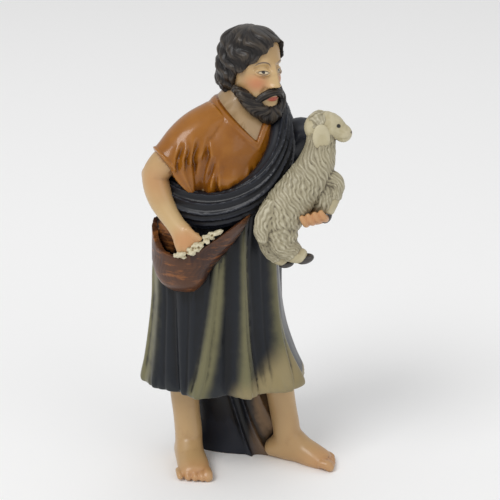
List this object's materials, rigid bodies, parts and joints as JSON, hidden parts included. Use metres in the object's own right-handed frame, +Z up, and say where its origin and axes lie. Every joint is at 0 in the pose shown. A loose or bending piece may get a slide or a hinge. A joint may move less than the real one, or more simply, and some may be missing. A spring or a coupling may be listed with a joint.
{
  "type": "nativity shepherd figurine",
  "caption": "Cast and painted figurine of a bearded, barefoot shepherd who carries a lamb on his left arm and reaches into a feed bag at his right hip.",
  "frame": {"origin": "on the ground, at the centre of the bounding box's bottom", "axes": "+Z up; the shepherd looks along -Y, so +X is his left"},
  "size_m": [0.0636, 0.0612, 0.15],
  "materials": {
    "painted_resin": "hand-painted cast polyresin under a satin varnish: ochre shirt, blue-black mantle and tunic with olive-yellow ridges, brown bag, tan skin, dark brown hair, ivory lamb"
  },
  "bodies": {
    "root": {"shepherd": "painted_resin"}
  },
  "joints": []
}
